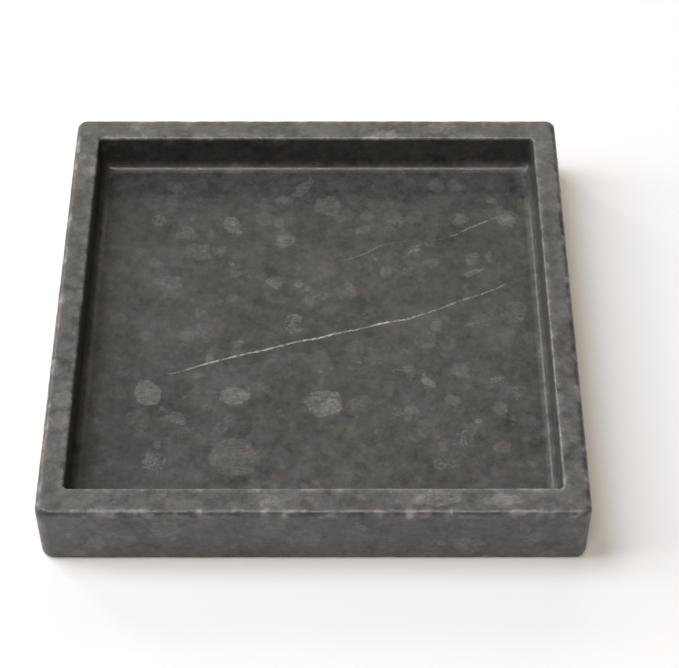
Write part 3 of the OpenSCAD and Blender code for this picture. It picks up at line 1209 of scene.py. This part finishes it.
    def seats(self, points: np.ndarray, under: np.ndarray, first: int) -> tuple[list[np.ndarray], np.ndarray]:
        """Cuts the four pad seats out of the underside's grid.

        Around each pad a square block of cells is left out. Rings then run from the block's edge to the
        seat's circle, down its wall and in to the middle of its ceiling.

        Args:
            points: all points so far, the underside's among them.
            under: the underside's grid of vertex numbers.
            first: the number of the first new vertex.

        Returns:
            The faces and the new points.
        """
        keep = np.ones((under.shape[0] - 1, under.shape[1] - 1), bool)
        faces, fresh = [], []
        reach = self.seat_cells
        place = points[under]
        for node in (name for name in frame["nodes"] if name.startswith("pad_")):
            low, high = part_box(node)
            middle = np.array([(low.x + high.x) / 2, (low.y + high.y) / 2]) / MM
            row, column = np.unravel_index(
                np.argmin(((place[..., :2] - middle) ** 2).sum(2)), under.shape)
            keep[row - reach:row + reach, column - reach:column + reach] = False
            block = under[row - reach:row + reach + 1, column - reach:column + reach + 1]
            edge = np.concatenate([block[0, :-1], block[:-1, -1], block[-1, :0:-1], block[:0:-1, 0]])
            angle = np.arctan2(*(points[edge][:, :2] - middle).T[::-1])
            circle = np.stack([np.cos(angle), np.sin(angle)], 1)
            rim_points = np.column_stack([middle + circle * self.seat_r, np.full(len(edge), self.bottom)])
            stages = [points[edge] * (1 - share) + rim_points * share for share in self.seat_spread]
            ceiling = self.bottom + self.seat_depth
            stages.append(np.column_stack([rim_points[:, :2], np.full(len(edge), ceiling)]))
            stages += [np.column_stack([middle + circle * self.seat_r * share, np.full(len(edge), ceiling)])
                       for share in self.ceiling_spread]
            previous = edge
            for stage in stages:
                fresh.append(stage)
                current = first + np.arange(len(edge))
                first += len(edge)
                faces.append(np.stack([previous, current, np.roll(current, -1), np.roll(previous, -1)], 1))
                previous = current
            fresh.append(np.array([[*middle, ceiling]]))
            hub = np.full(len(edge) // 2, first)
            first += 1
            faces.append(np.stack([previous[::2], hub, np.roll(previous, -2)[::2],
                                   np.roll(previous, -1)[::2]], 1))
        cells = np.stack([under[:-1, :-1], under[1:, :-1], under[1:, 1:], under[:-1, 1:]], 2)[keep]
        return faces + [cells], np.concatenate(fresh)

    def zone_values(self, points: np.ndarray) -> np.ndarray:
        """Gives every vertex its zone's values.

        Ring vertices take their profile row's values. The basin floor's and the underside's take their own.

        Args:
            points: all vertices.

        Returns:
            Rows of wobble, bruising, paleness and polish.
        """
        rows = self.profile()[1]
        around = 4 * self.per_side
        values = np.tile(Zone.SIDE.value, (len(points), 1))
        values[:len(rows) * around] = np.repeat(rows, around, axis=0)
        values[len(rows) * around:][:(self.per_side - 1) ** 2] = Zone.FLOOR.value
        return values

    def relief(self, points: np.ndarray, faces: list[np.ndarray], wobble: np.ndarray) -> np.ndarray:
        """Wears the surface inwards, as hand honing and handling leave it.

        The depth is the sum of two slow waves on all faces, lumps on the rounded edges where the wobble is,
        and chips. A chip is depth (1 - (d / radius)^2)^2 at distance d from its centre on an edge. The foot
        and the seats stay even, so that the pads still fit.

        Args:
            points: the vertices, in millimetres.
            faces: the faces.
            wobble: how strong the lumps are at each vertex.

        Returns:
            The moved vertices.
        """
        depth = layered_noise(points, self.waves)
        lumps = layered_noise(points, self.lumps)
        depth += wobble * smooth_step(lumps, self.lumps_from, self.lumps_to)
        draw = np.random.default_rng(self.wear_seed)
        edge = np.flatnonzero(wobble > self.chips_where_wobble)
        for centre in points[draw.choice(edge, self.chips)]:
            radius, deep = draw.uniform(*self.chip_radius), draw.uniform(*self.chip_depth)
            near = np.flatnonzero((np.abs(points - centre) < radius).all(axis=1))
            share = 1 - ((points[near] - centre) ** 2).sum(axis=1) / radius ** 2
            depth[near] += deep * np.clip(share, 0, 1) ** 2
        outermost = np.abs(points[:, :2]).max(axis=1)
        low = points[:, 2] < self.floor_z - self.even_below_floor
        seat = low & (outermost < self.half_w - self.even_inset)
        depth[seat | (points[:, 2] < self.bottom + self.even_foot)] = 0
        return points - vertex_normals(points, faces) * depth[:, None]

    def plane(self, face: Face) -> tuple[int, float]:
        """Finds the axis that a flat face is square to.

        Args:
            face: the face.

        Returns:
            The axis's number and the face's place on it, in metres.
        """
        basin_b = self.half_d - self.rim_end
        return {Face.FLOOR: (2, self.floor_z * MM), Face.RIM: (2, self.top * MM),
                Face.FRONT: (1, -self.half_d * MM), Face.BACK_WALL: (1, basin_b * MM)}[face]

    def fossil_fields(self, points: np.ndarray) -> tuple[np.ndarray, np.ndarray]:
        """Works out how far each vertex lies inside the fossils.

        A fossil is an ellipsoid whose section by its face is the ellipse seen in the photograph. With p the
        distance from its centre as a share of its size, a point is (1 - p) R inside, with R its mean radius.

        Args:
            points: the vertices, in millimetres.

        Returns:
            The soft patches' lift, and rows of the distance inside the nearest crisp fossil, its lift and
            its grain.
        """
        cloud = np.zeros(len(points))
        crisp = np.tile([self.bed.outside_mm, 0.0, 0.0], (len(points), 1))
        for fossil in self.bed.fossils:
            axis, level = self.plane(fossil.face)
            turn = math.radians(fossil.turn)
            long = np.array([math.cos(turn), -math.sin(turn)]) * fossil.across
            short = np.array([math.sin(turn), math.cos(turn)]) * fossil.down
            seen = np.array([fossil.px, fossil.py]) + np.stack([long * 0, long, short])
            centre, tip, side = self.view.on_plane(seen, axis, level) / MM
            flat = [place for place in range(3) if place != axis]
            spread = np.stack([(tip - centre)[flat], (side - centre)[flat]], 1)
            size = math.sqrt(abs(np.linalg.det(spread)))
            offset = points - centre
            share = np.sqrt(((offset[:, flat] @ np.linalg.inv(spread).T) ** 2).sum(axis=1)
                            + (offset[:, axis] / (self.bed.thickness * size)) ** 2)
            if fossil.soft:
                cloud += fossil.lift * smooth_step(self.bed.soft_reach - share, 0, self.bed.soft_fade)
                continue
            inside = (1 - share) * size
            nearer = inside > crisp[:, 0]
            crisp[nearer] = np.column_stack([inside, np.full(len(points), fossil.lift),
                                             np.full(len(points), fossil.grain.value)])[nearer]
        return cloud, crisp

    def vein_field(self, points: np.ndarray) -> np.ndarray:
        """Works out how far each vertex lies to one side of the nearest vein.

        For each stretch of a vein, the distance is measured to the nearest point on it, and its sign is the
        side that the point lies on.

        Args:
            points: the vertices, in millimetres.

        Returns:
            Rows of the distance, the vein's strength there and its half width.
        """
        field_values = np.tile([self.bed.far_mm, 0.0, 0.0], (len(points), 1))
        on_top = points[:, 2] > self.top - self.top_edge_r
        for vein in self.bed.veins:
            course = np.array([[point.px, point.py, point.strength] for point in vein.course])
            path = self.view.on_plane(course[:, :2], *self.plane(vein.face))[:, :2] / MM
            same_face = on_top == (vein.face is Face.RIM)
            for start, end, low, high in zip(path[:-1], path[1:], course[:-1, 2], course[1:, 2]):
                run = end - start
                offset = points[:, :2] - start
                part = np.clip(offset @ run / (run @ run), 0, 1)
                away = offset - part[:, None] * run
                side = np.sign(run[0] * offset[:, 1] - run[1] * offset[:, 0])
                distance = np.linalg.norm(away, axis=1) * side
                nearer = (np.abs(distance) < np.abs(field_values[:, 0])) & same_face
                values = np.column_stack([distance, low + (high - low) * part,
                                          np.full(len(points), vein.width / 2)])
                field_values[nearer] = values[nearer]
        return field_values

    def paint(self, piece: bpy.types.Object, points: np.ndarray, zones: np.ndarray) -> None:
        """Stores what the stone's material reads: bed, fossil and vein.

        Args:
            piece: the stone.
            points: the vertices before their relief, in millimetres.
            zones: the zones' values at each vertex.
        """
        cloud, crisp = self.fossil_fields(points)
        _, bruising, paleness_and_painted_light, polish = zones.T
        bruise = smooth_step(layered_noise(points, self.bruises), self.bruises_from, self.bruises_to)
        # The tone carries painted highlights on the top edge, the lip and the fillet and painted shade on the
        # bottom edge, made blotchy by the bruises.
        tone = paleness_and_painted_light * (1 + bruising * (self.bruise_lift * bruise - self.bruise_shade))
        for name, values in (("bed", np.column_stack([cloud, polish, tone])),
                             ("fossil", crisp), ("vein", self.vein_field(points))):
            store = piece.data.attributes.new(name, "FLOAT_VECTOR", "POINT")
            store.data.foreach_set("vector", values.astype(np.float32).ravel())

    def build(self) -> bpy.types.Object:
        """Builds the stone and dresses it.

        Returns:
            The finished piece.
        """
        points, faces = self.surface()
        zones = self.zone_values(points)
        worn = self.relief(points, faces, zones[:, 0])
        piece = new_mesh_object("stone_tray", worn * MM, faces)
        self.paint(piece, points, zones)
        piece.data.set_sharp_from_angle(angle=math.radians(self.crease_deg))
        piece.data.materials.append(self.finish.build())
        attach(piece, "root")
        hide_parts("tray_body")
        return piece


@dataclass
class RubberFeet:
    """The four silicone pads and the adhesive discs that hold them. Sizes in millimetres."""

    edge_r: float = 0.4
    edge_steps: int = 7
    top_edge: float = 0.1
    around: int = 72
    face_rings: tuple[float, float] = (0.45, 0.8)
    back_rings: tuple[float, float] = (0.8, 0.4)
    rubber: MouldedSilicone = field(default_factory=MouldedSilicone)
    glue: AcrylicAdhesive = field(default_factory=AcrylicAdhesive)

    def pad(self, node: str, material: bpy.types.Material) -> bpy.types.Object:
        """Turns one pad about its own axis.

        The section runs from the middle of the underside, round the moulded edge and in to the middle of the
        top. A point is (x0 + r cos t, y0 + r sin t, z).

        Args:
            node: the pad's node in the frame.
            material: the silicone.

        Returns:
            The finished piece.
        """
        low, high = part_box(node)
        middle = (low + high) / 2 / MM
        radius, foot, head = (high.x - low.x) / 2 / MM, low.z / MM, high.z / MM
        turn = np.radians(np.linspace(0, 90, self.edge_steps))
        section = [(radius * share, foot) for share in self.face_rings]
        section += [(radius - self.edge_r * (1 - math.sin(t)), foot + self.edge_r * (1 - math.cos(t)))
                    for t in turn]
        section += [(radius, head - self.top_edge), (radius - self.top_edge, head)]
        section += [(radius * share, head) for share in self.back_rings]
        angle = np.linspace(0, 2 * math.pi, self.around, endpoint=False)
        r, z = (np.array(column)[:, None] for column in zip(*section))
        rings = np.stack([middle.x + r * np.cos(angle), middle.y + r * np.sin(angle),
                          np.broadcast_to(z, (len(section), self.around))], 2)
        number = np.arange(rings.size // 3).reshape(rings.shape[:2])
        turned = np.roll(number, -1, axis=1)
        quads = np.stack([number[:-1], turned[:-1], turned[1:], number[1:]], 2).reshape(-1, 4)
        poles = np.array([[middle.x, middle.y, foot], [middle.x, middle.y, head]])
        hubs = np.full((2, self.around), [[number.size], [number.size + 1]])
        caps = np.concatenate([np.stack([turned[0], number[0], hubs[0]], 1),
                               np.stack([number[-1], turned[-1], hubs[1]], 1)])
        piece = new_mesh_object(f"rubber_{node}", np.concatenate([rings.reshape(-1, 3), poles]) * MM,
                                [quads, caps])
        piece.data.materials.append(material)
        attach(piece, "root")
        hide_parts(node)
        return piece

    def build(self) -> list[bpy.types.Object]:
        """Makes the pads and dresses the adhesive discs, which keep their CAD shape.

        Returns:
            All eight pieces.
        """
        rubber, glue = self.rubber.build(), self.glue.build()
        pads = [self.pad(node, rubber) for node in sorted(frame["nodes"]) if node.startswith("pad_")]
        discs = [disc for node, disc in sorted(frame["nodes"].items()) if node.startswith("adhesive_")]
        for disc in discs:
            disc.data.materials.clear()
            disc.data.materials.append(glue)
        return pads + discs


def main() -> None:
    """Builds the camera, the studio and the tray, and notes what each piece came to."""
    logging.basicConfig(level=logging.INFO, format="%(name)s: %(message)s")
    view = Viewpoint()
    view.build()
    Studio().build()
    stone = StoneTray(view).build()
    LOG.info("%s: %d faces", stone.name, len(stone.data.polygons))
    for piece in RubberFeet().build():
        LOG.info("%s: %d faces", piece.name, len(piece.data.polygons))


if __name__ == "__main__":
    main()
